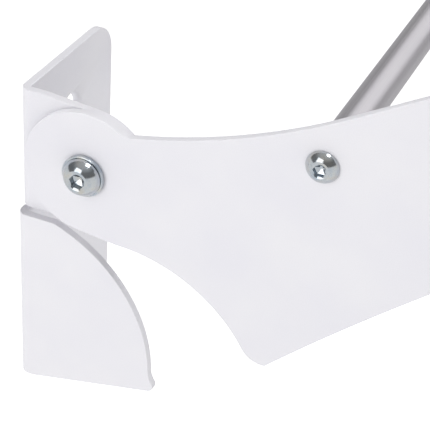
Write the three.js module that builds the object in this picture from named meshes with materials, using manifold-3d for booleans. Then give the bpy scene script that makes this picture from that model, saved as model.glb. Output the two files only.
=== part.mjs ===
// Wall mounted drying rack that folds up flat against the wall.
// Two bent sheet brackets carry two sheet arms on pivot bolts, and five round rails
// join the arms. Millimetres, +Z up. The wall is the plane Y = 0, the rack stands out
// along -Y, and the origin lies on the wall, midway between the brackets, at the height
// of the pivot. The rack is modelled with its arms raised above their level stop.
import * as THREE from 'three';
import { mergeVertices } from 'three/addons/utils/BufferGeometryUtils.js';
import Module from 'manifold-3d';

const wasm = await Module();
wasm.setup();

// ---------------------------------------------------------------- driving dimensions
const RACK_WIDTH = 800;             // over the outer faces of the two arms
const SHEET = 3;                    // thickness of the bracket and arm sheet
const GAP = 0.3;                    // clearance between pieces that face each other
const PIVOT_TO_WALL = 26.5;         // pivot axis to the wall plane
const RAISED_ANGLE = 30;            // degrees the arms stand above their level stop

// bracket: one sheet with a wall plate, an upper ear and a lower stop flap
const BRACKET_TOP = 24.2;           // wall plate's top edge above the pivot
const BRACKET_BOTTOM = -93.8;       // wall plate's bottom edge
const PLATE_WIDTH = 66.4;           // wall plate, measured from the flap's outer face
const PLATE_CORNER = 12;            // radius of the wall plate's free corners
const BEND_OUTER = 4;               // outside radius of both bends
const BEND_INNER = BEND_OUTER - SHEET;
const EAR_RADIUS = 22.5;            // round nose of the ear, about the pivot
const EAR_BOTTOM = -21.8;
const EAR_OFFSET = SHEET + GAP;     // the ear sits one sheet behind the arm
const FLAP_TOP = -23.2;
const EAR_KNEE = 18;                // the ear's top edge is level from the bend out to here
const SLIT_END_RADIUS = 1.5;        // relief hole that ends the slit between ear and flap
const SCREW_X = 35.1;               // wall screw holes, from the flap's outer face
const SCREW_HEIGHTS = [0.1, -71];
const SCREW_HOLE = 6.5;             // radius of a wall screw hole
const SCREW_SINK = 1.5;             // depth and extra radius of its countersink

// stop: the flap's curved edge and the arm's hollow edge that nests on it
const NEST_CENTRE = [-30.4, -76.5];
const NEST_RADIUS = 56.5;
const FLAP_SHOULDER = 3.5;          // radius where the flap's top edge meets its curve
const TOE_CENTRE = [35.57, -74.7];
const TOE_RADIUS = 9.2;             // the arm's toe
const FLAP_TOE_RADIUS = 2.4;        // the flap's toe
const FLAP_TOE_ANGLE = 213.7;       // and its direction from the centre of the arm's toe
const FLAP_BOTTOM_SLOPE = 12.2;     // degrees

// arm, drawn level: distances out from the pivot and up from it
const ARM_END_RADIUS = 23;
const ARM_TOP = -4.8;               // the level part of the arm's top edge
const ARM_SWEEP_START = 99;         // where the top edge starts to curve up to the pivot
const ARM_SWEEP_RADIUS = 232;
const ARM_NECK_RADIUS = 5;          // fillet between that curve and the round end
const ARM_HEEL_ANGLE = -127;        // where the lower edge leaves the round end
const ARM_HEEL_SLOPE = 37;
const TOE_END_ANGLE = 246;          // where the toe's curve ends in a corner
const BELLY_SLOPE = 15.3;           // lower edge's slope at the toe, degrees
const TIP_SLOPE = 8;                // and at the tip

// rails and their fixings
const RAIL_COUNT = 5;
const RAIL_SPACING = 80;
const FIRST_RAIL = 84.2;            // first rail's centre out from the pivot
const RAIL_DROP = 12.55;            // rail centres below the arm's top edge
const RAIL_RADIUS = 6;
const RAIL_BORE = 4.5;
const INSERT_RADIUS = 4.3;
const INSERT_LENGTH = 18;
const INSERT_CHAMFER = 0.5;
const RAIL_SCREW = {
  shank: 3, length: 16, headRadius: 5.6, headHeight: 3, flatRadius: 3.25, key: 4, keyDepth: 1.9,
};

// pivot fixings
const PIVOT_BOLT = {
  shank: 4, length: 20, headRadius: 6.9, headHeight: 4, flatRadius: 4.2, key: 5, keyDepth: 2.6,
};
const WASHER_RADIUS = 7.6;
const WASHER_BORE = 4.3;
const WASHER_THICKNESS = 1.5;
const BUSH_RADIUS = 5.3;
const BUSH_BORE = 4.15;
const NUT_KEY = 13;
const NUT_HEX_HEIGHT = 6;
const NUT_HEIGHT = 8;
const NUT_COLLAR_RADIUS = 5.9;
const NUT_SEAT_RADIUS = 5.2;
const NUT_LIP = 0.35;
const RING_BORE = 4.1;
const RING_HEIGHT = 1.35;
const RIM_SHARE = 0.05;             // straight rim of a screw head, as a share of its height
const CHAMFER_SHARE = 0.15;         // chamfer at a screw's end, as a share of its radius
const BORE_CLEARANCE = 0.2;         // radial clearance of a shank in its hole
const FACE_CLEARANCE = 0.15;        // clearance under heads, washers and nuts

const OVERCUT = 1;                  // how far a cutter reaches past what it cuts
const ROUND_SIDES = 20;             // sides of a turned piece
const DOME_STEPS = 3;               // steps up the dome of a screw head
const CURVE_STEPS = 6;              // steps along one curve of an outline

// ---------------------------------------------------------------- materials
const finish = (color, roughness, metalness) => () =>
  new THREE.MeshStandardMaterial({ color, roughness, metalness });
const powderCoat = finish(0xe8e7ec, 0.45, 0);
const satinAluminium = finish(0xb9b8bd, 0.38, 1);
const brightZinc = finish(0xc9cdd2, 0.18, 1);
const plainSteel = finish(0x9fa1a4, 0.35, 1);
const whiteNylon = finish(0xefeee6, 0.5, 0);

// ---------------------------------------------------------------- solids
const radians = THREE.MathUtils.degToRad;

function toManifold(geometry) {
  const bare = geometry.clone();
  bare.deleteAttribute('normal');
  bare.deleteAttribute('uv');
  const welded = mergeVertices(bare, 1e-4);
  const mesh = new wasm.Mesh({
    numProp: 3,
    vertProperties: new Float32Array(welded.attributes.position.array),
    triVerts: new Uint32Array(welded.index.array),
  });
  return new wasm.Manifold(mesh);
}

function toGeometry(solid) {
  const mesh = solid.getMesh();
  const geometry = new THREE.BufferGeometry();
  geometry.setAttribute('position', new THREE.BufferAttribute(mesh.vertProperties, 3));
  geometry.setIndex(new THREE.BufferAttribute(mesh.triVerts, 1));
  geometry.computeVertexNormals();
  return geometry;
}

// Joins the first list of geometries and cuts the second list out of the result.
function carve(joined, cutters) {
  let solid = toManifold(joined[0]);
  for (const piece of joined.slice(1)) {
    solid = solid.add(toManifold(piece));
  }
  for (const cutter of cutters) {
    solid = solid.subtract(toManifold(cutter));
  }
  return solid;
}

// Each end of the rack is drawn in its own coordinates: x runs inward from the arm's
// outer face, y towards the wall, z up, and the pivot is the origin.

// A side view outline (out from the wall, up) made into a plate between two x values.
function sidePlate(outline, from, to) {
  const geometry = new THREE.ExtrudeGeometry(outline, {
    depth: to - from, bevelEnabled: false, curveSegments: CURVE_STEPS,
  });
  const turn = new THREE.Matrix4().makeBasis(
    new THREE.Vector3(0, -1, 0), new THREE.Vector3(0, 0, 1), new THREE.Vector3(-1, 0, 0));
  return geometry.applyMatrix4(turn).translate(to, 0, 0);
}

// A plan view outline (x, y) raised between two heights.
function planPrism(outline, from, to) {
  const geometry = new THREE.ExtrudeGeometry(outline, {
    depth: to - from, bevelEnabled: false, curveSegments: CURVE_STEPS,
  });
  return geometry.translate(0, 0, from);
}

// A front view outline (x, z) made into a prism between two y values.
function frontPrism(outline, from, to) {
  const geometry = new THREE.ExtrudeGeometry(outline, {
    depth: to - from, bevelEnabled: false, curveSegments: CURVE_STEPS,
  });
  return geometry.rotateX(Math.PI / 2).translate(0, to, 0);
}

// A turned piece about the x axis; profile points are [x, radius].
function turned(profile) {
  const points = profile.map(([x, radius]) => new THREE.Vector2(radius, x));
  return new THREE.LatheGeometry(points, ROUND_SIDES).rotateZ(-Math.PI / 2);
}

function cylinderX(radius, from, to, sides = ROUND_SIDES) {
  const geometry = new THREE.CylinderGeometry(radius, radius, to - from, sides);
  return geometry.rotateZ(Math.PI / 2).translate((from + to) / 2, 0, 0);
}

function cylinderY(radius, x, z, from, to) {
  const geometry = new THREE.CylinderGeometry(radius, radius, to - from, ROUND_SIDES);
  return geometry.translate(x, (from + to) / 2, z);
}

// A hexagonal bar along x, its key size measured over the flats.
function hexBar(key, from, to) {
  return cylinderX(key / Math.sqrt(3), from, to, 6);
}

// ---------------------------------------------------------------- outlines
const BEHIND_WALL = -PIVOT_TO_WALL - OVERCUT;

// Point on a circle, with the angle in degrees from the outward direction.
function onCircle([x, y], radius, angle) {
  return [x + radius * Math.cos(radians(angle)), y + radius * Math.sin(radians(angle))];
}

function arc(path, centre, radius, fromAngle, toAngle, clockwise) {
  path.absarc(centre[0], centre[1], radius, radians(fromAngle), radians(toAngle), clockwise);
}

function angleFrom([cx, cy], [x, y]) {
  return THREE.MathUtils.radToDeg(Math.atan2(y - cy, x - cx));
}

// The crossing of two circles that lies to the left of the way from the first to the second.
function circlesMeet([ax, ay], ra, [bx, by], rb) {
  const dx = bx - ax;
  const dy = by - ay;
  const span = Math.hypot(dx, dy);
  const along = (span * span + ra * ra - rb * rb) / (2 * span);
  const aside = Math.sqrt(ra * ra - along * along);
  return [ax + (dx * along - dy * aside) / span, ay + (dy * along + dx * aside) / span];
}

// Where a line from a point, at an angle in degrees, first meets a circle.
function lineMeetsCircle([px, py], angle, [cx, cy], radius) {
  const ux = Math.cos(radians(angle));
  const uy = Math.sin(radians(angle));
  const along = (px - cx) * ux + (py - cy) * uy;
  const apart = (px - cx) ** 2 + (py - cy) ** 2 - radius * radius;
  const step = -along - Math.sqrt(along * along - apart);
  return [px + ux * step, py + uy * step];
}

const railCentre = (index) => [FIRST_RAIL + index * RAIL_SPACING, ARM_TOP - RAIL_DROP];

function armOutline() {
  const shape = new THREE.Shape();
  const sweepCentre = [ARM_SWEEP_START, ARM_TOP + ARM_SWEEP_RADIUS];
  const neckCentre = circlesMeet(
    sweepCentre, ARM_SWEEP_RADIUS - ARM_NECK_RADIUS, [0, 0], ARM_END_RADIUS + ARM_NECK_RADIUS);
  const nestRadius = NEST_RADIUS + GAP;
  const heel = onCircle([0, 0], ARM_END_RADIUS, ARM_HEEL_ANGLE);
  const nestStart = lineMeetsCircle(heel, -ARM_HEEL_SLOPE, NEST_CENTRE, nestRadius);
  const toeStart = [TOE_CENTRE[0] - TOE_RADIUS, TOE_CENTRE[1]];
  const toeEnd = onCircle(TOE_CENTRE, TOE_RADIUS, TOE_END_ANGLE);
  const tip = railCentre(RAIL_COUNT - 1);
  const tipBottom = onCircle(tip, RAIL_DROP, TIP_SLOPE - 90);
  const handle = (tipBottom[0] - toeEnd[0]) / 3;
  arc(shape, [0, 0], ARM_END_RADIUS, angleFrom([0, 0], neckCentre), 360 + ARM_HEEL_ANGLE, false);
  shape.lineTo(...nestStart);
  arc(shape, NEST_CENTRE, nestRadius, angleFrom(NEST_CENTRE, nestStart),
    angleFrom(NEST_CENTRE, toeStart), true);
  arc(shape, TOE_CENTRE, TOE_RADIUS, 180, TOE_END_ANGLE, false);
  shape.bezierCurveTo(
    toeEnd[0] + handle, toeEnd[1] + handle * Math.tan(radians(BELLY_SLOPE)),
    tipBottom[0] - handle, tipBottom[1] - handle * Math.tan(radians(TIP_SLOPE)),
    ...tipBottom);
  arc(shape, tip, RAIL_DROP, TIP_SLOPE - 90, 90, false);
  shape.lineTo(ARM_SWEEP_START, ARM_TOP);
  arc(shape, sweepCentre, ARM_SWEEP_RADIUS, -90, angleFrom(sweepCentre, neckCentre), true);
  arc(shape, neckCentre, ARM_NECK_RADIUS, angleFrom(neckCentre, sweepCentre) + 180,
    angleFrom(neckCentre, [0, 0]), true);
  return shape;
}

// The ear's side view, with the bend and the wall plate left whole behind it.
function earOutline() {
  const shape = new THREE.Shape();
  const knee = [-EAR_KNEE, BRACKET_TOP];
  const kneeToTangent = THREE.MathUtils.radToDeg(Math.acos(EAR_RADIUS / Math.hypot(...knee)));
  const tangentAngle = angleFrom([0, 0], knee) - kneeToTangent;
  const bottomAngle = THREE.MathUtils.radToDeg(Math.asin(EAR_BOTTOM / EAR_RADIUS));
  shape.moveTo(BEHIND_WALL, BRACKET_TOP);
  shape.lineTo(BEHIND_WALL, EAR_BOTTOM);
  arc(shape, [0, 0], EAR_RADIUS, bottomAngle, tangentAngle, false);
  shape.lineTo(...knee);
  return shape;
}

function flapOutline() {
  const shape = new THREE.Shape();
  const shoulderHeight = FLAP_TOP - FLAP_SHOULDER;
  const inner = NEST_RADIUS - FLAP_SHOULDER;
  const shoulderDrop = shoulderHeight - NEST_CENTRE[1];
  const shoulder = [NEST_CENTRE[0] + Math.sqrt(inner ** 2 - shoulderDrop ** 2), shoulderHeight];
  const hollowRadius = TOE_RADIUS + GAP;
  const hollowStart = [TOE_CENTRE[0] - hollowRadius, TOE_CENTRE[1]];
  const flapToe = onCircle(TOE_CENTRE, hollowRadius + FLAP_TOE_RADIUS, FLAP_TOE_ANGLE);
  const toeBottomAngle = FLAP_BOTTOM_SLOPE - 90;
  const toeBottom = onCircle(flapToe, FLAP_TOE_RADIUS, toeBottomAngle);
  const levelOut = toeBottom[0]
    - (toeBottom[1] - BRACKET_BOTTOM) / Math.tan(radians(FLAP_BOTTOM_SLOPE));
  shape.moveTo(BEHIND_WALL, FLAP_TOP);
  shape.lineTo(BEHIND_WALL, BRACKET_BOTTOM);
  shape.lineTo(levelOut, BRACKET_BOTTOM);
  arc(shape, flapToe, FLAP_TOE_RADIUS, toeBottomAngle, FLAP_TOE_ANGLE - 180, false);
  arc(shape, TOE_CENTRE, hollowRadius, FLAP_TOE_ANGLE, 180, true);
  arc(shape, NEST_CENTRE, NEST_RADIUS, angleFrom(NEST_CENTRE, hollowStart),
    angleFrom(NEST_CENTRE, shoulder), false);
  arc(shape, shoulder, FLAP_SHOULDER, angleFrom(NEST_CENTRE, shoulder), 90, false);
  return shape;
}

// Plan view of the sheet where it turns from the wall plate into an ear or a flap whose
// outer face lies at x = offset.
function bendOutline(offset) {
  const shape = new THREE.Shape();
  const centre = [offset + BEND_OUTER, PIVOT_TO_WALL - BEND_OUTER];
  const frontEdge = -EAR_RADIUS - NEST_RADIUS;
  shape.moveTo(offset, frontEdge);
  shape.lineTo(offset + SHEET, frontEdge);
  arc(shape, centre, BEND_INNER, 180, 90, true);
  shape.lineTo(PLATE_WIDTH, PIVOT_TO_WALL - SHEET);
  shape.lineTo(PLATE_WIDTH, PIVOT_TO_WALL);
  arc(shape, centre, BEND_OUTER, 90, 180, false);
  return shape;
}

function plateOutline() {
  const shape = new THREE.Shape();
  const right = PLATE_WIDTH - PLATE_CORNER;
  shape.moveTo(-OVERCUT, BRACKET_TOP);
  shape.lineTo(-OVERCUT, BRACKET_BOTTOM);
  arc(shape, [right, BRACKET_BOTTOM + PLATE_CORNER], PLATE_CORNER, -90, 0, false);
  arc(shape, [right, BRACKET_TOP - PLATE_CORNER], PLATE_CORNER, 0, 90, false);
  return shape;
}

// ---------------------------------------------------------------- sub-parts
function bracketGeometry() {
  const slitEnd = EAR_OFFSET + BEND_OUTER;
  const slitMiddle = (EAR_BOTTOM + FLAP_TOP) / 2;
  const ear = toManifold(planPrism(bendOutline(EAR_OFFSET), EAR_BOTTOM, BRACKET_TOP))
    .intersect(toManifold(sidePlate(earOutline(), 0, PLATE_WIDTH)));
  const flap = toManifold(planPrism(bendOutline(0), BRACKET_BOTTOM, FLAP_TOP))
    .intersect(toManifold(sidePlate(flapOutline(), 0, PLATE_WIDTH)));
  const weld = new THREE.BoxGeometry(PLATE_WIDTH - slitEnd, SHEET, 2 * (EAR_BOTTOM - FLAP_TOP));
  weld.translate((PLATE_WIDTH + slitEnd) / 2, PIVOT_TO_WALL - SHEET / 2, slitMiddle);
  const trim = frontPrism(plateOutline(), -2 * NEST_RADIUS, PIVOT_TO_WALL + OVERCUT);
  const plate = ear.add(flap).add(toManifold(weld)).intersect(toManifold(trim));
  const through = [PIVOT_TO_WALL - SHEET - OVERCUT, PIVOT_TO_WALL + OVERCUT];
  let bracket = plate.subtract(toManifold(cylinderX(
    PIVOT_BOLT.shank + BORE_CLEARANCE, EAR_OFFSET - OVERCUT, EAR_OFFSET + SHEET + OVERCUT)));
  bracket = bracket.subtract(toManifold(
    cylinderY(SLIT_END_RADIUS, slitEnd, slitMiddle, ...through)));
  for (const height of SCREW_HEIGHTS) {
    const sink = new THREE.CylinderGeometry(
      SCREW_HOLE, SCREW_HOLE + 2 * SCREW_SINK, 2 * SCREW_SINK, ROUND_SIDES);
    sink.translate(SCREW_X, PIVOT_TO_WALL - SHEET, height);
    bracket = bracket.subtract(toManifold(cylinderY(SCREW_HOLE, SCREW_X, height, ...through)));
    bracket = bracket.subtract(toManifold(sink));
  }
  return toGeometry(bracket);
}

function armGeometry() {
  const holes = [cylinderX(BUSH_RADIUS + BORE_CLEARANCE, -OVERCUT, SHEET + OVERCUT)];
  for (let index = 0; index < RAIL_COUNT; index += 1) {
    const [out, up] = railCentre(index);
    const hole = cylinderX(RAIL_SCREW.shank + BORE_CLEARANCE, -OVERCUT, SHEET + OVERCUT);
    holes.push(hole.translate(0, -out, up));
  }
  return toGeometry(carve([sidePlate(armOutline(), 0, SHEET)], holes));
}

// A button head screw along x: its head stands out to -x from the seat at x = 0, domed as
// part of a sphere whose centre lies on the axis.
function buttonScrew({ shank, length, headRadius, headHeight, flatRadius, key, keyDepth }) {
  const rim = RIM_SHARE * headHeight;
  const centre = (rim ** 2 + headRadius ** 2 - headHeight ** 2 - flatRadius ** 2)
    / (2 * (headHeight - rim));
  const sphere = Math.hypot(headHeight + centre, flatRadius);
  const first = Math.asin(flatRadius / sphere);
  const last = Math.asin(headRadius / sphere);
  const profile = [[-headHeight, 0]];
  for (let step = 0; step <= DOME_STEPS; step += 1) {
    const angle = first + (last - first) * step / DOME_STEPS;
    profile.push([centre - sphere * Math.cos(angle), sphere * Math.sin(angle)]);
  }
  const chamfer = CHAMFER_SHARE * shank;
  profile.push([0, headRadius], [0, shank], [length - chamfer, shank]);
  profile.push([length, shank - chamfer], [length, 0]);
  const socket = hexBar(key, -headHeight - OVERCUT, keyDepth - headHeight);
  return toGeometry(carve([turned(profile)], [socket]));
}

// A ring about the x axis between two x values.
function ring(inner, outer, from, to) {
  return turned([[from, inner], [from, outer], [to, outer], [to, inner], [from, inner]]);
}

function insertGeometry() {
  const bore = RAIL_SCREW.shank + BORE_CLEARANCE;
  return turned([
    [0, bore], [0, INSERT_RADIUS], [INSERT_LENGTH - INSERT_CHAMFER, INSERT_RADIUS],
    [INSERT_LENGTH, INSERT_RADIUS - INSERT_CHAMFER], [INSERT_LENGTH, bore], [0, bore],
  ]);
}

// The lock nut's collar holds a nylon ring behind its rolled lip.
function nutGeometry() {
  const bore = PIVOT_BOLT.shank + BORE_CLEARANCE;
  const collar = cylinderX(NUT_COLLAR_RADIUS, NUT_HEX_HEIGHT / 2, NUT_HEIGHT);
  const hole = cylinderX(bore, -OVERCUT, NUT_HEIGHT + OVERCUT);
  const seat = cylinderX(NUT_SEAT_RADIUS, NUT_HEX_HEIGHT, NUT_HEIGHT - NUT_LIP);
  const mouth = cylinderX(NUT_SEAT_RADIUS - NUT_LIP, NUT_HEX_HEIGHT, NUT_HEIGHT + OVERCUT);
  return toGeometry(carve([hexBar(NUT_KEY, 0, NUT_HEX_HEIGHT), collar], [hole, seat, mouth]));
}

// ---------------------------------------------------------------- assembly
function named(name, geometry, material) {
  const mesh = new THREE.Mesh(geometry, material());
  mesh.name = name;
  return mesh;
}

function shifted(mesh, x, y = 0, z = 0) {
  mesh.position.set(x, y, z);
  return mesh;
}

// A group whose x axis runs inward from the outer face of the arm on the given side.
function endGroup(side) {
  const group = new THREE.Group();
  group.position.x = side.sign * RACK_WIDTH / 2;
  group.scale.x = -side.sign;
  return group;
}

const SIDES = [{ name: 'left', sign: -1 }, { name: 'right', sign: 1 }];

const rack = new THREE.Group();
rack.name = 'wall_drying_rack';

const pivotLine = new THREE.Group();
pivotLine.position.y = -PIVOT_TO_WALL;
rack.add(pivotLine);

const foldingFrame = new THREE.Group();
foldingFrame.rotation.x = -radians(RAISED_ANGLE);
pivotLine.add(foldingFrame);

for (const side of SIDES) {
  const fixed = endGroup(side);
  pivotLine.add(fixed);
  const nutSeat = EAR_OFFSET + SHEET + FACE_CLEARANCE + WASHER_THICKNESS + FACE_CLEARANCE;
  const headSeat = -WASHER_THICKNESS - 2 * FACE_CLEARANCE;
  const washer = () => ring(WASHER_BORE, WASHER_RADIUS, 0, WASHER_THICKNESS);
  const lockRing = ring(RING_BORE, NUT_SEAT_RADIUS - FACE_CLEARANCE, 0, RING_HEIGHT);
  fixed.add(named(`bracket_${side.name}`, bracketGeometry(), powderCoat));
  fixed.add(shifted(
    named(`pivot_bolt_${side.name}`, buttonScrew(PIVOT_BOLT), brightZinc), headSeat));
  fixed.add(shifted(
    named(`outer_washer_${side.name}`, washer(), brightZinc), headSeat + FACE_CLEARANCE));
  fixed.add(shifted(
    named(`inner_washer_${side.name}`, washer(), brightZinc),
    EAR_OFFSET + SHEET + FACE_CLEARANCE));
  fixed.add(shifted(named(`lock_nut_${side.name}`, nutGeometry(), brightZinc), nutSeat));
  fixed.add(shifted(
    named(`lock_nut_ring_${side.name}`, lockRing, whiteNylon),
    nutSeat + NUT_HEX_HEIGHT + FACE_CLEARANCE));

  const moving = endGroup(side);
  foldingFrame.add(moving);
  const bush = ring(BUSH_BORE, BUSH_RADIUS, 0, SHEET);
  moving.add(named(`arm_${side.name}`, armGeometry(), powderCoat));
  moving.add(named(`pivot_bush_${side.name}`, bush, whiteNylon));
  for (let index = 0; index < RAIL_COUNT; index += 1) {
    const [out, up] = railCentre(index);
    const label = `${side.name}_${index + 1}`;
    moving.add(shifted(
      named(`rail_screw_${label}`, buttonScrew(RAIL_SCREW), brightZinc),
      -FACE_CLEARANCE, -out, up));
    moving.add(shifted(
      named(`rail_insert_${label}`, insertGeometry(), plainSteel), SHEET + GAP, -out, up));
  }
}

for (let index = 0; index < RAIL_COUNT; index += 1) {
  const [out, up] = railCentre(index);
  const half = RACK_WIDTH / 2 - SHEET - GAP;
  const tube = ring(RAIL_BORE, RAIL_RADIUS, -half, half);
  foldingFrame.add(shifted(named(`rail_${index + 1}`, tube, satinAluminium), 0, -out, up));
}

export default rack;
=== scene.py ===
import math

import bmesh
import bpy
from mathutils import Matrix, Vector
from mathutils.geometry import tessellate_polygon


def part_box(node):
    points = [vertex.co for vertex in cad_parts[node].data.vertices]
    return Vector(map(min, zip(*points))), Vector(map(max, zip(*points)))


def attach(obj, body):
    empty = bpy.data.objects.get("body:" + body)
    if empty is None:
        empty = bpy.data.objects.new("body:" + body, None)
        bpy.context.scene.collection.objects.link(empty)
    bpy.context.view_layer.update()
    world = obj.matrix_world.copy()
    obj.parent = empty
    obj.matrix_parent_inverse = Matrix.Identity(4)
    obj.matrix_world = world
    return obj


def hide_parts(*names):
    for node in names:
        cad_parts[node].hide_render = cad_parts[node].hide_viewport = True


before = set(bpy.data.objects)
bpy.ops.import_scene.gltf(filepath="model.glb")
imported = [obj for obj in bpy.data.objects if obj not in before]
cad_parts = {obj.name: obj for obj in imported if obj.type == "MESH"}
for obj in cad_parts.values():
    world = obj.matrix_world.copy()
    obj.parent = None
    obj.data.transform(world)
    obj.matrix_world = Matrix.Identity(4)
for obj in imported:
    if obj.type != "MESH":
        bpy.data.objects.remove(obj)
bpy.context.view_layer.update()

MM = 0.001
SIDES = ("left", "right")

# ------------------------------------------------------------------ sheet metal, millimetres
SHEET = 3.0
GAP = 0.3
ARRIS = 0.3                          # radius of the powder coated arrises
ARRIS_STEPS = 3
ARC_SAG = 0.006                      # how far a chord may lie from its true arc

PIVOT_TO_WALL = 26.5
BRACKET_TOP = 24.2
BRACKET_BOTTOM = -93.8
PLATE_WIDTH = 66.4
PLATE_CORNER = 12.0
BEND_OUTER = 4.0
BEND_STEPS = 14
EAR_RADIUS = 22.5
EAR_BOTTOM = -21.8
EAR_OFFSET = SHEET + GAP
EAR_KNEE = 18.0                      # the ear's top edge is level from the bend out to here
FLAP_TOP = -23.2
SLIT_END_RADIUS = 1.5
SCREW_X = 35.1
SCREW_HEIGHTS = (0.1, -71.0)
SCREW_HOLE = 6.5
SCREW_SINK = 1.5                     # depth and extra radius of the countersink

NEST_CENTRE = (-30.4, -76.5)
NEST_RADIUS = 56.5
FLAP_SHOULDER = 3.5
TOE_CENTRE = (35.57, -74.7)
TOE_RADIUS = 9.2
FLAP_TOE_RADIUS = 2.4
FLAP_TOE_ANGLE = 213.7
FLAP_BOTTOM_SLOPE = 12.2

ARM_END_RADIUS = 23.0
ARM_TOP = -4.8
ARM_SWEEP_START = 99.0
ARM_SWEEP_RADIUS = 232.0
ARM_NECK_RADIUS = 5.0
ARM_HEEL_ANGLE = -127.0
ARM_HEEL_SLOPE = 37.0
TOE_END_ANGLE = 246.0
BELLY_SLOPE = 15.3
TIP_SLOPE = 8.0
BELLY_STEPS = 60

# ------------------------------------------------------------------ turned pieces, millimetres
RAIL_COUNT = 5
RAIL_RADIUS = 6.0
RAIL_BORE = 4.5
RAIL_EDGE = 0.25
INSERT_RADIUS = 4.3
INSERT_LENGTH = 18.0
INSERT_CHAMFER = 0.5
RAIL_SCREW = {
    "shank": 3.0, "length": 16.0, "pitch": 1.0, "head_radius": 5.6, "head_height": 3.0,
    "flat_radius": 3.25, "key": 4.0, "key_depth": 1.9,
}
PIVOT_BOLT = {
    "shank": 4.0, "length": 20.0, "pitch": 1.25, "head_radius": 6.9, "head_height": 4.0,
    "flat_radius": 4.2, "key": 5.0, "key_depth": 2.6,
}
WASHER_RADIUS = 7.6
WASHER_BORE = 4.3
WASHER_THICKNESS = 1.5
BUSH_RADIUS = 5.3
BUSH_BORE = 4.15
NUT_KEY = 13.0
NUT_HEX_HEIGHT = 6.0
NUT_HEIGHT = 8.0
NUT_COLLAR_RADIUS = 5.9
NUT_SEAT_RADIUS = 5.2
NUT_LIP = 0.35
RING_BORE = 4.1
RING_HEIGHT = 1.35
SHANK_CLEARANCE = 0.2
FACE_CLEARANCE = 0.15
RIM_SHARE = 0.05                     # straight rim of a screw head, as a share of its height
DOME_STEPS = 20
SOCKET_MOUTH = 1.1                   # radius of a socket's chamfer, as a share of the corners' radius
SOCKET_MOUTH_SLOPE = 35.0            # degrees
THREAD_DEPTH = 0.54                  # as a share of the pitch
THREAD_CREST = 0.12                  # flat crest, as a share of half the pitch
THREAD_FLANK = 0.7                   # flank, as a share of half the pitch
THREAD_RUN_OUT = 0.6                 # where the thread fades in and out, as a share of the pitch
RINGS_PER_PITCH = 8
WASHER_ROLL = 0.2                    # radius of the edges that the punch rolled over
WASHER_ROLL_STEPS = 6
WASHER_BURR = 0.08                   # size of the crisp edges at the other face
NUT_FACE_SHARE = 0.97                # a nut's flat face ends here, as a share of half its key size
NUT_CORNER_SLOPE = 25.0              # degrees
BOLT_TURN = 49.5                     # degrees that the pivot bolts' sockets are turned
RAIL_SCREW_TURN = 32                 # and the first rail screws'
RAIL_SCREW_TURN_STEP = 23            # each next rail screw is turned this much further
ROUND = 96                           # sides of a turned piece, a multiple of six for the hexagons


# ------------------------------------------------------------------ plane geometry
def on_circle(centre, radius, angle):
    turn = math.radians(angle)
    return (centre[0] + radius * math.cos(turn), centre[1] + radius * math.sin(turn))


def angle_from(centre, point):
    return math.degrees(math.atan2(point[1] - centre[1], point[0] - centre[0]))


def arc(centre, radius, start, end):
    """Points of an arc from one angle to another, in degrees, the way that the numbers run."""
    step = math.degrees(2 * math.acos(1 - ARC_SAG / radius))
    count = max(2, math.ceil(abs(end - start) / step))
    return [on_circle(centre, radius, start + (end - start) * n / count) for n in range(count + 1)]


def bezier(a, b, c, d, count):
    points = []
    for n in range(count + 1):
        t = n / count
        s = 1 - t
        weights = (s ** 3, 3 * s * s * t, 3 * s * t * t, t ** 3)
        points.append(tuple(sum(w * p[i] for w, p in zip(weights, (a, b, c, d))) for i in (0, 1)))
    return points


def circles_meet(a, ra, b, rb):
    """The crossing of two circles that lies to the left of the way from the first to the second."""
    dx, dy = b[0] - a[0], b[1] - a[1]
    span = math.hypot(dx, dy)
    along = (span * span + ra * ra - rb * rb) / (2 * span)
    aside = math.sqrt(ra * ra - along * along)
    return (a[0] + (dx * along - dy * aside) / span, a[1] + (dy * along + dx * aside) / span)


def line_meets_circle(point, angle, centre, radius):
    """Where a line from a point, at an angle in degrees, first meets a circle."""
    ux, uy = on_circle((0, 0), 1, angle)
    px, py = point[0] - centre[0], point[1] - centre[1]
    along = px * ux + py * uy
    step = -along - math.sqrt(along * along - (px * px + py * py - radius * radius))
    return (point[0] + ux * step, point[1] + uy * step)


def tidy_loop(points):
    """Drops points that repeat the one before them."""
    kept = []
    for point in points:
        if not kept or math.dist(point, kept[-1]) > 1e-4:
            kept.append(point)
    if math.dist(kept[0], kept[-1]) < 1e-4:
        kept.pop()
    return kept


# ------------------------------------------------------------------ where the frame puts things
def middle(node):
    low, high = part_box(node)
    return (low + high) / 2


PIVOT = middle("pivot_bolt_left")
RAIL_MIDDLES = [middle(f"rail_{n + 1}") for n in range(RAIL_COUNT)]
ARM_LINE = RAIL_MIDDLES[-1] - RAIL_MIDDLES[0]
RAISED = math.atan2(ARM_LINE.z, -ARM_LINE.y)          # how far the arms stand above level
OUTER_FACE = {"left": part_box("arm_left")[0].x, "right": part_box("arm_right")[1].x}


def rail_centre(index):
    """A rail's centre as (out, up) from the pivot, millimetres, with the arm drawn level."""
    offset = Matrix.Rotation(RAISED, 3, "X") @ (RAIL_MIDDLES[index] - PIVOT)
    return (-offset.y / MM, offset.z / MM)


def end_matrix(side, mirrored, raised):
    """From the coordinates of one end to the frame. A threaded piece is turned, not mirrored."""
    flip = Matrix.Identity(4)
    if side == "right":
        flip = Matrix.Scale(-1, 4, (1, 0, 0)) if mirrored else Matrix.Rotation(math.pi, 4, "Z")
    tilt = Matrix.Rotation(-RAISED, 4, "X") if raised else Matrix.Identity(4)
    place = Matrix.Translation((OUTER_FACE[side], PIVOT.y, PIVOT.z))
    return place @ tilt @ flip @ Matrix.Scale(MM, 4)


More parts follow.
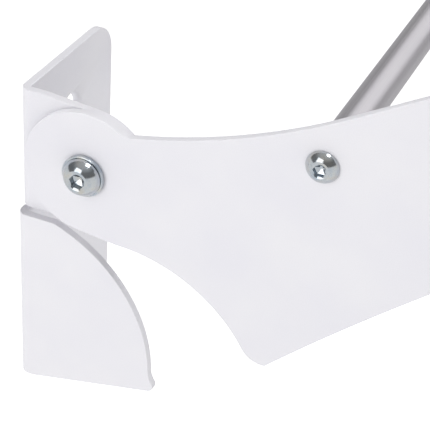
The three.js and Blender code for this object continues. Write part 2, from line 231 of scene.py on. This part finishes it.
# ------------------------------------------------------------------ meshes
def inset_loop(points, depth):
    """A counter-clockwise loop moved inwards, with its corners mitred."""
    inward = []
    for n, point in enumerate(points):
        before = points[n - 1]
        length = math.dist(before, point)
        inward.append(((before[1] - point[1]) / length, (point[0] - before[0]) / length))
    moved = []
    for n, point in enumerate(points):
        first, second = inward[n], inward[(n + 1) % len(points)]
        share = depth / (1 + first[0] * second[0] + first[1] * second[1])
        moved.append((point[0] + (first[0] + second[0]) * share,
                      point[1] + (first[1] + second[1]) * share))
    return moved


def circle(centre, radius):
    return [on_circle(centre, radius, 360 * n / ROUND) for n in range(ROUND)]


def arris(start, inward):
    """The (depth, inset) steps of a rounded arris, from the face at depth start to the sheet's
    side; inward is 1 or -1, the way from that face into the sheet."""
    steps = []
    for n in range(ARRIS_STEPS + 1):
        turn = math.pi / 2 * n / ARRIS_STEPS
        steps.append((start + inward * ARRIS * (1 - math.cos(turn)), ARRIS * (1 - math.sin(turn))))
    return steps


def sheet(outline, holes):
    """A flat sheet with rounded arrises, its outer face at height 0. The outline runs
    counter-clockwise, and a hole is (centre, radius, depth of its countersink)."""
    side = arris(0, 1) + arris(SHEET, -1)[::-1]
    points = tidy_loop(outline)
    walls = [[(height, inset_loop(points, inset)) for height, inset in side]]
    for centre, radius, sink in holes:
        profile = side
        if sink:
            profile = arris(0, 1) + [(SHEET - sink, 0), (SHEET, sink)]
        walls.append([(height, circle(centre, radius + inset)) for height, inset in profile])
    made = bmesh.new()
    faces = ([], [])
    for wall in walls:
        loops = [[made.verts.new((x, y, height)) for x, y in loop] for height, loop in wall]
        for first, second in zip(loops, loops[1:]):
            for n in range(len(first)):
                made.faces.new((first[n - 1], first[n], second[n], second[n - 1]))
        faces[0].append(loops[0])
        faces[1].append(loops[-1])
    for loops in faces:
        corners = [vert for loop in loops for vert in loop]
        for triangle in tessellate_polygon([[vert.co for vert in loop] for loop in loops]):
            made.faces.new([corners[n] for n in triangle])
    bmesh.ops.recalc_face_normals(made, faces=made.faces)
    return made


def spun(rings, closed=False):
    """A solid of revolution about x. A ring is (x, radius), or a function of the angle that gives
    them; a radius of 0 ends the profile on the axis, and closed joins the last ring to the first."""
    made = bmesh.new()
    loops = []
    for ring in rings:
        if not callable(ring) and ring[1] == 0:
            loops.append([made.verts.new((ring[0], 0, 0))])
            continue
        loop = []
        for n in range(ROUND):
            angle = 2 * math.pi * n / ROUND
            x, radius = ring(angle) if callable(ring) else ring
            loop.append(made.verts.new((x, radius * math.sin(angle), radius * math.cos(angle))))
        loops.append(loop)
    pairs = list(zip(loops, loops[1:]))
    if closed:
        pairs.append((loops[-1], loops[0]))
    for first, second in pairs:
        for n in range(ROUND):
            after = (n + 1) % ROUND
            corners = [first[n % len(first)], first[after % len(first)]]
            corners += [second[after % len(second)], second[n % len(second)]]
            made.faces.new(list(dict.fromkeys(corners)))
    bmesh.ops.recalc_face_normals(made, faces=made.faces)
    return made


def finish_piece(name, made, matrix, body, material, smooth_to):
    """Moves a bmesh into the frame and makes it the piece that stands for the CAD node."""
    bmesh.ops.transform(made, matrix=matrix, verts=made.verts)
    bmesh.ops.recalc_face_normals(made, faces=made.faces)
    for face in made.faces:
        face.smooth = True
    for edge in made.edges:
        edge.smooth = edge.calc_face_angle(0) < math.radians(smooth_to)
    mesh = bpy.data.meshes.new(name)
    made.to_mesh(mesh)
    made.free()
    mesh.materials.append(material)
    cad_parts[name].name = f"{name}_cad"
    piece = bpy.data.objects.new(name, mesh)
    bpy.context.scene.collection.objects.link(piece)
    weighted = piece.modifiers.new("weighted_normals", "WEIGHTED_NORMAL")
    weighted.keep_sharp = True
    weighted.weight = 60
    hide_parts(name)
    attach(piece, body)
    return piece


# ------------------------------------------------------------------ outlines
def arm_outline():
    """The arm drawn level, as (out, up) from the pivot."""
    sweep_centre = (ARM_SWEEP_START, ARM_TOP + ARM_SWEEP_RADIUS)
    neck_centre = circles_meet(
        sweep_centre, ARM_SWEEP_RADIUS - ARM_NECK_RADIUS, (0, 0), ARM_END_RADIUS + ARM_NECK_RADIUS)
    nest_radius = NEST_RADIUS + GAP
    heel = on_circle((0, 0), ARM_END_RADIUS, ARM_HEEL_ANGLE)
    nest_start = line_meets_circle(heel, -ARM_HEEL_SLOPE, NEST_CENTRE, nest_radius)
    toe_start = (TOE_CENTRE[0] - TOE_RADIUS, TOE_CENTRE[1])
    toe_end = on_circle(TOE_CENTRE, TOE_RADIUS, TOE_END_ANGLE)
    tip = rail_centre(RAIL_COUNT - 1)
    tip_radius = ARM_TOP - tip[1]
    tip_bottom = on_circle(tip, tip_radius, TIP_SLOPE - 90)
    reach = (tip_bottom[0] - toe_end[0]) / 3
    belly_lift = reach * math.tan(math.radians(BELLY_SLOPE))
    tip_lift = reach * math.tan(math.radians(TIP_SLOPE))
    points = arc((0, 0), ARM_END_RADIUS, angle_from((0, 0), neck_centre), 360 + ARM_HEEL_ANGLE)
    points += arc(NEST_CENTRE, nest_radius, angle_from(NEST_CENTRE, nest_start),
                  angle_from(NEST_CENTRE, toe_start))
    points += arc(TOE_CENTRE, TOE_RADIUS, 180, TOE_END_ANGLE)
    points += bezier(toe_end, (toe_end[0] + reach, toe_end[1] + belly_lift),
                     (tip_bottom[0] - reach, tip_bottom[1] - tip_lift), tip_bottom, BELLY_STEPS)
    points += arc(tip, tip_radius, TIP_SLOPE - 90, 90)
    points += arc(sweep_centre, ARM_SWEEP_RADIUS, -90, angle_from(sweep_centre, neck_centre))
    points += arc(neck_centre, ARM_NECK_RADIUS, angle_from(neck_centre, sweep_centre) + 180,
                  angle_from(neck_centre, (0, 0)) + 360)
    return points


# The bracket is drawn as the flat blank that it is bent from: u runs along the sheet from the
# free edges of the ear and the flap to the free edge of the wall plate, and v runs up.
BEND_MIDDLE = BEND_OUTER - SHEET / 2
BEND_LENGTH = BEND_MIDDLE * math.pi / 2
STRAIGHT_FROM = PIVOT_TO_WALL - BEND_OUTER       # the ear and flap are flat further out than this
SLIT_MIDDLE = (EAR_BOTTOM + FLAP_TOP) / 2


def blank_u(offset, out):
    """Where a point of the ear or flap, so far out from the pivot, lies on the flat blank."""
    return offset + BEND_OUTER - BEND_LENGTH - (out + STRAIGHT_FROM)


def ear_points():
    """The ear's outline from the slit round to the plate's top edge, as (out, up)."""
    knee = (-EAR_KNEE, BRACKET_TOP)
    tangent = angle_from((0, 0), knee) - math.degrees(math.acos(EAR_RADIUS / math.hypot(*knee)))
    bottom = math.degrees(math.asin(EAR_BOTTOM / EAR_RADIUS))
    return arc((0, 0), EAR_RADIUS, bottom, tangent) + [knee]


def flap_points():
    """The flap's outline from the plate's bottom edge round to the slit, as (out, up)."""
    shoulder_up = FLAP_TOP - FLAP_SHOULDER
    inner = NEST_RADIUS - FLAP_SHOULDER
    shoulder_out = math.sqrt(inner ** 2 - (shoulder_up - NEST_CENTRE[1]) ** 2)
    shoulder = (NEST_CENTRE[0] + shoulder_out, shoulder_up)
    hollow_radius = TOE_RADIUS + GAP
    hollow_start = (TOE_CENTRE[0] - hollow_radius, TOE_CENTRE[1])
    flap_toe = on_circle(TOE_CENTRE, hollow_radius + FLAP_TOE_RADIUS, FLAP_TOE_ANGLE)
    toe_bottom_angle = FLAP_BOTTOM_SLOPE - 90
    toe_bottom = on_circle(flap_toe, FLAP_TOE_RADIUS, toe_bottom_angle)
    run = (toe_bottom[1] - BRACKET_BOTTOM) / math.tan(math.radians(FLAP_BOTTOM_SLOPE))
    points = [(toe_bottom[0] - run, BRACKET_BOTTOM)]
    points += arc(flap_toe, FLAP_TOE_RADIUS, toe_bottom_angle, FLAP_TOE_ANGLE - 180)
    points += arc(TOE_CENTRE, hollow_radius, FLAP_TOE_ANGLE, 180)
    points += arc(NEST_CENTRE, NEST_RADIUS, angle_from(NEST_CENTRE, hollow_start),
                  angle_from(NEST_CENTRE, shoulder))
    points += arc(shoulder, FLAP_SHOULDER, angle_from(NEST_CENTRE, shoulder), 90)
    return points


def bracket_blank():
    """The bracket's outline on the flat sheet."""
    slit_end = EAR_OFFSET + BEND_OUTER
    slit_half = (EAR_BOTTOM - FLAP_TOP) / 2
    opening = math.degrees(math.asin(slit_half / SLIT_END_RADIUS))
    right = PLATE_WIDTH - PLATE_CORNER
    points = [(blank_u(0, out), up) for out, up in flap_points()]
    points += arc((slit_end, SLIT_MIDDLE), SLIT_END_RADIUS, 180 + opening, 540 - opening)
    points += [(blank_u(EAR_OFFSET, out), up) for out, up in ear_points()]
    points += arc((right, BRACKET_TOP - PLATE_CORNER), PLATE_CORNER, 90, 0)
    points += arc((right, BRACKET_BOTTOM + PLATE_CORNER), PLATE_CORNER, 0, -90)
    return points


def bend_blank(made):
    """Bends the flat blank: w, the height above the outer face, turns into the thickness."""
    for offset in (0, EAR_OFFSET):
        for step in range(BEND_STEPS + 1):
            u = offset + BEND_OUTER - BEND_LENGTH * step / BEND_STEPS
            everything = made.verts[:] + made.edges[:] + made.faces[:]
            bmesh.ops.bisect_plane(
                made, geom=everything, dist=1e-5, plane_co=(u, 0, 0), plane_no=(1, 0, 0))
    for vert in made.verts:
        u, v, w = vert.co
        offset = EAR_OFFSET if v > SLIT_MIDDLE else 0
        start = offset + BEND_OUTER
        along = start - u
        radius = BEND_OUTER - w
        if along <= 0:
            x, y = u, PIVOT_TO_WALL - w
        elif along < BEND_LENGTH:
            turn = along / BEND_MIDDLE
            x = start - radius * math.sin(turn)
            y = STRAIGHT_FROM + radius * math.cos(turn)
        else:
            x, y = offset + w, STRAIGHT_FROM - (along - BEND_LENGTH)
        vert.co = (x, y, v)


# ------------------------------------------------------------------ sub-parts
def bracket():
    holes = [((blank_u(EAR_OFFSET, 0), 0), PIVOT_BOLT["shank"] + SHANK_CLEARANCE, 0)]
    holes += [((SCREW_X, height), SCREW_HOLE, SCREW_SINK) for height in SCREW_HEIGHTS]
    made = sheet(bracket_blank()[::-1], holes)
    bend_blank(made)
    return made


def arm():
    holes = [((0, 0), BUSH_RADIUS + SHANK_CLEARANCE, 0)]
    for index in range(RAIL_COUNT):
        holes.append((rail_centre(index), RAIL_SCREW["shank"] + SHANK_CLEARANCE, 0))
    made = sheet(arm_outline(), holes)
    for vert in made.verts:
        out, up, depth = vert.co
        vert.co = (depth, -out, up)
    return made


def hex_radius(key, angle):
    """Distance from the axis to the side of a hexagon of this key size, in one direction."""
    sector = math.pi / 3
    return key / 2 / math.cos((angle + sector / 2) % sector - sector / 2)


def thread_radius(crest, pitch, x, angle):
    """A metric thread's radius: a 60 degree V with a flat crest and a rounded root."""
    phase = (x / pitch - angle / (2 * math.pi)) % 1
    depth = THREAD_DEPTH * pitch
    rise = abs(2 * phase - 1)
    return crest - depth * min(1, max(0, (rise - THREAD_CREST) / THREAD_FLANK))


def button_screw(size, turn):
    """A button head screw: its head stands out to -x from the seat at x = 0. turn, in degrees,
    is how far its key socket is turned."""
    height, flat, head = size["head_height"], size["flat_radius"], size["head_radius"]
    key, shank, length = size["key"], size["shank"], size["length"]
    floor = size["key_depth"] - height
    mouth = key / math.sqrt(3) * SOCKET_MOUTH
    mouth_slope = math.tan(math.radians(SOCKET_MOUTH_SLOPE))
    twist = math.radians(turn)
    rim = RIM_SHARE * height
    sphere_depth = (rim ** 2 + head ** 2 - height ** 2 - flat ** 2) / (2 * (height - rim))
    sphere = math.hypot(height + sphere_depth, flat)

    def hexagon(shrink, x):
        return lambda angle: (x, shrink * hex_radius(key, angle - twist))

    def chamfer(angle):
        radius = hex_radius(key, angle - twist)
        return (-height + (mouth - radius) * mouth_slope, radius)

    rings = [(floor + 0.9, 0), hexagon(0.5, floor + 0.45), hexagon(0.94, floor + 0.03)]
    rings += [hexagon(0.985, floor), hexagon(1, floor - 0.08), chamfer]
    rings += [(-height + 0.02, mouth + 0.02), (-height, mouth + 0.08)]
    first, last = math.asin(flat / sphere), math.asin(head / sphere)
    for step in range(DOME_STEPS + 1):
        angle = first + (last - first) * step / DOME_STEPS
        rings.append((sphere_depth - sphere * math.cos(angle), sphere * math.sin(angle)))
    rings += [(-0.1, head), (-0.03, head - 0.03), (0, head - 0.1)]
    rings += [(0, shank + 0.25), (0.07, shank + 0.07), (0.25, shank), (0.5 * size["pitch"], shank)]
    count = round((length - size["pitch"]) / size["pitch"] * RINGS_PER_PITCH)
    run_out = THREAD_RUN_OUT * size["pitch"]

    def thread(x):
        fade = min(1, (length - x) / run_out, (x - size["pitch"]) / run_out)
        end = max(0, run_out - (length - x)) * 0.9
        return lambda angle: (
            x, shank - end - max(0, fade) * (shank - thread_radius(shank, size["pitch"], x, angle)))

    for step in range(count + 1):
        rings.append(thread(size["pitch"] + (length - size["pitch"]) * step / count))
    rings.append((length, 0))
    return spun(rings)


def ring(inner, outer, low, high, edge):
    """A flat ring with its four edges chamfered."""
    return spun([
        (low, inner + edge), (low, outer - edge), (low + edge, outer), (high - edge, outer),
        (high, outer - edge), (high, inner + edge), (high - edge, inner), (low + edge, inner),
    ], closed=True)


def washer():
    """A punched washer: rolled over at one face's edges, crisp at the other's."""
    crisp = WASHER_THICKNESS - WASHER_BURR
    rings = [(WASHER_THICKNESS, WASHER_BORE + WASHER_BURR)]
    rings += [(WASHER_THICKNESS, WASHER_RADIUS - WASHER_BURR), (crisp, WASHER_RADIUS)]
    roll = WASHER_ROLL
    turns = [math.pi / 2 * step / WASHER_ROLL_STEPS for step in range(WASHER_ROLL_STEPS + 1)]
    for turn in turns:
        rings.append((roll - roll * math.sin(turn), WASHER_RADIUS - roll + roll * math.cos(turn)))
    for turn in turns:
        rings.append((roll - roll * math.cos(turn), WASHER_BORE + roll - roll * math.sin(turn)))
    rings.append((crisp, WASHER_BORE))
    return spun(rings, closed=True)


def lock_nut():
    """A hexagon nut whose corners are chamfered, with a round collar that holds the nylon ring."""
    bore = PIVOT_BOLT["shank"] + SHANK_CLEARANCE
    face = NUT_FACE_SHARE * NUT_KEY / 2
    slope = math.tan(math.radians(NUT_CORNER_SLOPE))

    def seat_corner(angle):
        radius = hex_radius(NUT_KEY, angle)
        return ((radius - face) * slope, radius)

    def top_corner(angle):
        radius = hex_radius(NUT_KEY, angle)
        return (NUT_HEX_HEIGHT - (radius - face) * slope, radius)

    lip = NUT_SEAT_RADIUS - NUT_LIP
    return spun([
        (0.4, bore), (0, bore + 0.4), (0, face), seat_corner, top_corner,
        (NUT_HEX_HEIGHT, face), (NUT_HEX_HEIGHT, NUT_COLLAR_RADIUS + 0.2),
        (NUT_HEX_HEIGHT + 0.2, NUT_COLLAR_RADIUS), (NUT_HEIGHT - 0.7, NUT_COLLAR_RADIUS),
        (NUT_HEIGHT - 0.3, NUT_COLLAR_RADIUS - 0.12), (NUT_HEIGHT - 0.05, NUT_COLLAR_RADIUS - 0.45),
        (NUT_HEIGHT, lip + 0.12), (NUT_HEIGHT - 0.08, lip), (NUT_HEIGHT - NUT_LIP, lip),
        (NUT_HEIGHT - NUT_LIP, NUT_SEAT_RADIUS), (NUT_HEX_HEIGHT, NUT_SEAT_RADIUS),
        (NUT_HEX_HEIGHT, bore),
    ], closed=True)


def rail_insert():
    bore = RAIL_SCREW["shank"] + SHANK_CLEARANCE
    edge = INSERT_CHAMFER
    return spun([
        (0, bore + edge), (0, INSERT_RADIUS - 0.1), (0.1, INSERT_RADIUS),
        (INSERT_LENGTH - edge, INSERT_RADIUS), (INSERT_LENGTH, INSERT_RADIUS - edge),
        (INSERT_LENGTH, bore), (edge, bore),
    ], closed=True)


# ------------------------------------------------------------------ materials
def linear(red, green, blue):
    """A colour given as it looks on screen, 0 to 255, as the linear values that nodes take."""
    values = []
    for part in (red, green, blue):
        share = part / 255
        values.append(share / 12.92 if share <= 0.04045 else ((share + 0.055) / 1.055) ** 2.4)
    return (*values, 1)


class Finish:
    """A material being built: a Principled shader with procedural detail added to it."""

    def __init__(self, name, color, roughness, metallic=0.0):
        self.material = bpy.data.materials.new(name)
        self.material.use_nodes = True
        self.nodes = self.material.node_tree.nodes
        self.links = self.material.node_tree.links
        self.shader = self.nodes["Principled BSDF"]
        self.shader.inputs["Base Color"].default_value = color
        self.shader.inputs["Roughness"].default_value = roughness
        self.shader.inputs["Metallic"].default_value = metallic
        self.place = self.nodes.new("ShaderNodeTexCoord").outputs["Object"]

    def set(self, **values):
        for name, value in values.items():
            self.shader.inputs[name.replace("_", " ").title()].default_value = value

    def noise(self, scale, detail=2.0, stretch=(1, 1, 1), roughness=0.5):
        """Noise with this many lumps per metre, before it is stretched."""
        mapping = self.nodes.new("ShaderNodeMapping")
        mapping.inputs["Scale"].default_value = stretch
        self.links.new(self.place, mapping.inputs["Vector"])
        noise = self.nodes.new("ShaderNodeTexNoise")
        noise.inputs["Scale"].default_value = scale
        noise.inputs["Detail"].default_value = detail
        noise.inputs["Roughness"].default_value = roughness
        self.links.new(mapping.outputs["Vector"], noise.inputs["Vector"])
        return noise.outputs["Fac"]

    def spread(self, value, low, high, start=0.3, end=0.7):
        """Turns a noise value into a number between low and high."""
        node = self.nodes.new("ShaderNodeMapRange")
        node.inputs["From Min"].default_value = start
        node.inputs["From Max"].default_value = end
        node.inputs["To Min"].default_value = low
        node.inputs["To Max"].default_value = high
        self.links.new(value, node.inputs["Value"])
        return node.outputs["Result"]

    def colours(self, value, stops):
        ramp = self.nodes.new("ShaderNodeValToRGB")
        elements = ramp.color_ramp.elements
        while len(elements) < len(stops):
            elements.new(0.5)
        for element, (place, color) in zip(elements, stops):
            element.position = place
            element.color = color
        self.links.new(value, ramp.inputs["Fac"])
        return ramp.outputs["Color"]

    def multiply(self, first, second):
        node = self.nodes.new("ShaderNodeMix")
        node.data_type = "RGBA"
        node.blend_type = "MULTIPLY"
        node.inputs["Factor"].default_value = 1
        self.links.new(first, node.inputs["A"])
        self.links.new(second, node.inputs["B"])
        return node.outputs["Result"]

    def feed(self, name, value):
        self.links.new(value, self.shader.inputs[name])

    def bump(self, height, strength, distance, under=None):
        node = self.nodes.new("ShaderNodeBump")
        node.inputs["Strength"].default_value = strength
        node.inputs["Distance"].default_value = distance
        self.links.new(height, node.inputs["Height"])
        if under is not None:
            self.links.new(under, node.inputs["Normal"])
        return node.outputs["Normal"]


def grey(level):
    return (level, level, level, 1)


def powder_coat():
    """Satin white polyester powder coat with a fine orange peel and a faint mottle."""
    coat = Finish("powder_coat", linear(226, 225, 230), 0.42)
    mottle = coat.colours(coat.noise(38, 3), [
        (0.3, linear(224, 223, 229)), (0.7, linear(228, 227, 231))])
    speck = coat.colours(coat.noise(2600, 2), [(0.3, grey(0.975)), (0.62, grey(1.0))])
    coat.feed("Base Color", coat.multiply(mottle, speck))
    coat.feed("Roughness", coat.spread(coat.noise(420, 3), 0.36, 0.47))
    peel = coat.bump(coat.noise(620, 2), 0.22, 0.00006)
    coat.feed("Normal", coat.bump(coat.noise(1900, 2), 0.10, 0.00002, peel))
    coat.set(coat_weight=0.08, coat_roughness=0.2)
    return coat.material


def rail_aluminium():
    """Satin anodised aluminium tube, drawn along its length."""
    tube = Finish("rail_aluminium", linear(222, 219, 224), 0.34, 1.0)
    lines = tube.noise(2200, 3, (0.004, 1, 1))
    cloud = tube.colours(tube.noise(30, 2, (0.3, 1, 1)), [
        (0.3, linear(219, 216, 222)), (0.7, linear(225, 222, 226))])
    streak = tube.colours(lines, [(0.3, grey(0.94)), (0.7, grey(1.0))])
    tube.feed("Base Color", tube.multiply(cloud, streak))
    tube.feed("Roughness", tube.spread(lines, 0.38, 0.46))
    tube.feed("Normal", tube.bump(lines, 0.12, 0.00002))
    tube.set(anisotropic=0.4)
    return tube.material


def bright_zinc():
    """Bright zinc plate with a thin blue passivation, faintly clouded."""
    plate = Finish("bright_zinc", linear(192, 197, 201), 0.13, 1.0)
    cloud = plate.colours(plate.noise(260, 3), [
        (0.32, linear(180, 189, 198)), (0.55, linear(194, 198, 201)), (0.72, linear(198, 197, 192))])
    pits = plate.colours(plate.noise(2400, 2), [(0.25, grey(0.86)), (0.4, grey(1.0))])
    plate.feed("Base Color", plate.multiply(cloud, pits))
    plate.feed("Roughness", plate.spread(plate.noise(900, 3), 0.08, 0.19))
    plate.feed("Normal", plate.bump(plate.noise(1500, 3), 0.10, 0.00003))
    return plate.material


def insert_steel():
    """Turned mild steel with fine tool marks round it."""
    steel = Finish("insert_steel", linear(168, 170, 173), 0.36, 1.0)
    marks = steel.noise(3200, 2, (1, 0.02, 0.02))
    steel.feed("Base Color", steel.colours(marks, [
        (0.3, linear(156, 158, 162)), (0.7, linear(176, 178, 180))]))
    steel.feed("Roughness", steel.spread(marks, 0.3, 0.42))
    steel.feed("Normal", steel.bump(marks, 0.2, 0.00003))
    return steel.material


def white_nylon():
    """Natural white nylon, softly grained. The real nylon is slightly translucent; this shader is
    opaque.
    """
    nylon = Finish("white_nylon", linear(236, 234, 224), 0.48)
    nylon.feed("Base Color", nylon.colours(nylon.noise(180, 2), [
        (0.3, linear(232, 230, 219)), (0.7, linear(240, 238, 229))]))
    nylon.feed("Roughness", nylon.spread(nylon.noise(700, 2), 0.42, 0.54))
    nylon.feed("Normal", nylon.bump(nylon.noise(1400, 2), 0.12, 0.00003))
    return nylon.material


# ------------------------------------------------------------------ assembly
FINISHES = {
    "powder_coat": powder_coat(),
    "rail_aluminium": rail_aluminium(),
    "bright_zinc": bright_zinc(),
    "insert_steel": insert_steel(),
    "nylon": white_nylon(),
}
SMOOTH_SHEET = 50                    # degrees: arrises are rounded, so all of a sheet is smooth
SMOOTH_TURNED = 28


def start_x(node, side):
    """Where a node's outermost face lies, inward from the arm's outer face, in millimetres."""
    low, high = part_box(node)
    inward = low.x - OUTER_FACE[side] if side == "left" else OUTER_FACE[side] - high.x
    return inward / MM


def sheet_piece(name, made, side, body, raised):
    matrix = end_matrix(side, True, raised)
    return finish_piece(
        name, made, matrix, body, FINISHES["powder_coat"], SMOOTH_SHEET)


def turned_piece(name, made, side, body, slot, seat=None, index=None):
    """A turned piece, moved along its axis to its seat, and out to a rail if index names one."""
    if seat is None:
        seat = start_x(name, side)
    out, up = rail_centre(index) if index is not None else (0, 0)
    spread = 1 if side == "left" else -1
    offset = Matrix.Translation((seat, -out * spread, up))
    matrix = end_matrix(side, False, index is not None) @ offset
    return finish_piece(name, made, matrix, body, FINISHES[slot], SMOOTH_TURNED)


for side in SIDES:
    sheet_piece(f"bracket_{side}", bracket(), side, "wall_brackets", False)
    sheet_piece(f"arm_{side}", arm(), side, "folding_frame", True)
    head = PIVOT_BOLT["head_height"]
    bolt = f"pivot_bolt_{side}"
    seat = start_x(bolt, side) + head
    turned_piece(bolt, button_screw(PIVOT_BOLT, BOLT_TURN), side, "wall_brackets", "bright_zinc", seat)
    turned_piece(f"outer_washer_{side}", washer(), side, "wall_brackets", "bright_zinc")
    turned_piece(f"inner_washer_{side}", washer(), side, "wall_brackets", "bright_zinc")
    turned_piece(f"lock_nut_{side}", lock_nut(), side, "wall_brackets", "bright_zinc")
    lock_ring = ring(RING_BORE, NUT_SEAT_RADIUS - FACE_CLEARANCE, 0, RING_HEIGHT, 0.1)
    turned_piece(f"lock_nut_ring_{side}", lock_ring, side, "wall_brackets", "nylon")
    bush = ring(BUSH_BORE, BUSH_RADIUS, 0, SHEET, 0.15)
    turned_piece(f"pivot_bush_{side}", bush, side, "folding_frame", "nylon")
    for index in range(RAIL_COUNT):
        screw = f"rail_screw_{side}_{index + 1}"
        seat = start_x(screw, side) + RAIL_SCREW["head_height"]
        turn = RAIL_SCREW_TURN + RAIL_SCREW_TURN_STEP * index
        turned_piece(screw, button_screw(RAIL_SCREW, turn), side, "folding_frame", "bright_zinc",
                     seat, index)
        turned_piece(f"rail_insert_{side}_{index + 1}", rail_insert(), side, "folding_frame",
                     "insert_steel", None, index)

for index in range(RAIL_COUNT):
    name = f"rail_{index + 1}"
    low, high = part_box(name)
    tube = ring(RAIL_BORE, RAIL_RADIUS, 0, (high.x - low.x) / MM, RAIL_EDGE)
    turned_piece(name, tube, "left", "folding_frame", "rail_aluminium", None, index)

# ------------------------------------------------------------------ camera
CAMERA_AIM = Vector((OUTER_FACE["left"] + 0.0003, PIVOT.y - 0.0474, PIVOT.z - 0.0014))
CAMERA_DISTANCE = 0.4663
CAMERA_AZIMUTH = math.radians(-68.84)
CAMERA_ELEVATION = math.radians(33.14)
CAMERA_ROLL = math.radians(3.97)
CAMERA_LENS = 120.71

camera_data = bpy.data.cameras.new("camera")
camera_data.sensor_width = 36
camera_data.lens = CAMERA_LENS
camera_data.clip_start = 0.01
camera_data.clip_end = 100
camera = bpy.data.objects.new("camera", camera_data)
bpy.context.scene.collection.objects.link(camera)
bpy.context.scene.camera = camera
back = Vector((
    math.sin(CAMERA_AZIMUTH) * math.cos(CAMERA_ELEVATION),
    -math.cos(CAMERA_AZIMUTH) * math.cos(CAMERA_ELEVATION),
    math.sin(CAMERA_ELEVATION),
))
level_right = Vector((math.cos(CAMERA_AZIMUTH), math.sin(CAMERA_AZIMUTH), 0))
level_up = back.cross(level_right)
right = level_right * math.cos(CAMERA_ROLL) + level_up * math.sin(CAMERA_ROLL)
up = back.cross(right)
camera.matrix_world = Matrix.Translation(CAMERA_AIM + back * CAMERA_DISTANCE) @ Matrix(
    (right, up, back)).transposed().to_4x4()

# ------------------------------------------------------------------ floor and light
FLOOR_DROP = 1.3                     # the rack hangs at about this height
FLOOR_SIZE = 14.0
SKY_LEVELS = (                       # how bright the studio is, by the height of the direction
    (0.00, 1.0), (0.56, 0.9), (0.61, 0.20), (0.80, 0.22), (0.95, 0.50), (1.00, 0.55),
)
SKY_SHADE_FROM = 0.1                 # towards +X the studio dims from here
SKY_SHADE = 0.4


def floor():
    """A plain pale floor that glows a little, so that it stays as white as the backdrop."""
    made = bmesh.new()
    bmesh.ops.create_grid(made, x_segments=8, y_segments=8, size=FLOOR_SIZE)
    mesh = bpy.data.meshes.new("floor")
    made.to_mesh(mesh)
    made.free()
    paint = Finish("floor_paint", linear(200, 200, 200), 0.8)
    paint.feed("Base Color", paint.colours(paint.noise(3, 2), [
        (0.3, linear(198, 198, 198)), (0.7, linear(202, 202, 202))]))
    paint.shader.inputs["Emission Color"].default_value = grey(1.0)
    paint.shader.inputs["Emission Strength"].default_value = 0.9
    mesh.materials.append(paint.material)
    plane = bpy.data.objects.new("floor", mesh)
    plane.location = (0, 0, -FLOOR_DROP)
    plane.visible_glossy = False
    bpy.context.scene.collection.objects.link(plane)


def soft_box(name, azimuth, elevation, distance, width, height, radiance):
    """A soft box that faces the left pivot from this direction, unseen by the camera itself."""
    data = bpy.data.lights.new(name, "AREA")
    data.shape = "RECTANGLE"
    data.size = width
    data.size_y = height
    data.energy = radiance * math.pi * width * height
    light = bpy.data.objects.new(name, data)
    turn, lift = math.radians(azimuth), math.radians(elevation)
    away = Vector((math.sin(turn) * math.cos(lift), -math.cos(turn) * math.cos(lift), math.sin(lift)))
    target = Vector((OUTER_FACE["left"], PIVOT.y, PIVOT.z))
    light.location = target + away * distance
    light.rotation_mode = "QUATERNION"
    light.rotation_quaternion = away.to_track_quat("Z", "Y")
    light.visible_camera = False
    bpy.context.scene.collection.objects.link(light)


def sky():
    """A pale studio, dim overhead so that bright metal has something dark to mirror, and plain
    white where the camera sees it directly."""
    world = bpy.data.worlds.new("studio")
    world.use_nodes = True
    bpy.context.scene.world = world
    nodes, links = world.node_tree.nodes, world.node_tree.links
    around = nodes["Background"]
    place = nodes.new("ShaderNodeTexCoord")
    split = nodes.new("ShaderNodeSeparateXYZ")
    links.new(place.outputs["Generated"], split.inputs["Vector"])
    height = nodes.new("ShaderNodeMapRange")
    height.inputs["From Min"].default_value = -1
    height.inputs["From Max"].default_value = 1
    links.new(split.outputs["Z"], height.inputs["Value"])
    ramp = nodes.new("ShaderNodeValToRGB")
    elements = ramp.color_ramp.elements
    while len(elements) < len(SKY_LEVELS):
        elements.new(0.5)
    for element, (position, level) in zip(elements, SKY_LEVELS):
        element.position = position
        element.color = grey(level)
    links.new(height.outputs["Result"], ramp.inputs["Fac"])
    side = nodes.new("ShaderNodeMapRange")
    side.inputs["From Min"].default_value = SKY_SHADE_FROM
    side.inputs["From Max"].default_value = 1
    side.inputs["To Min"].default_value = 1
    side.inputs["To Max"].default_value = SKY_SHADE
    links.new(split.outputs["X"], side.inputs["Value"])
    links.new(ramp.outputs["Color"], around.inputs["Color"])
    links.new(side.outputs["Result"], around.inputs["Strength"])
    seen = nodes.new("ShaderNodeBackground")
    seen.inputs["Color"].default_value = grey(1.0)
    path = nodes.new("ShaderNodeLightPath")
    mix = nodes.new("ShaderNodeMixShader")
    links.new(path.outputs["Is Camera Ray"], mix.inputs["Fac"])
    links.new(around.outputs["Background"], mix.inputs[1])
    links.new(seen.outputs["Background"], mix.inputs[2])
    links.new(mix.outputs["Shader"], nodes["World Output"].inputs["Surface"])


floor()
sky()
soft_box("key_box", -110, 22, 1.2, 0.85, 1.5, 1.85)
soft_box("top_box", 15, 72, 2.0, 0.6, 0.6, 18)
soft_box("far_box", 78, 33, 2.5, 2.2, 1.6, 0.9)
bpy.context.scene.view_settings.view_transform = "Standard"
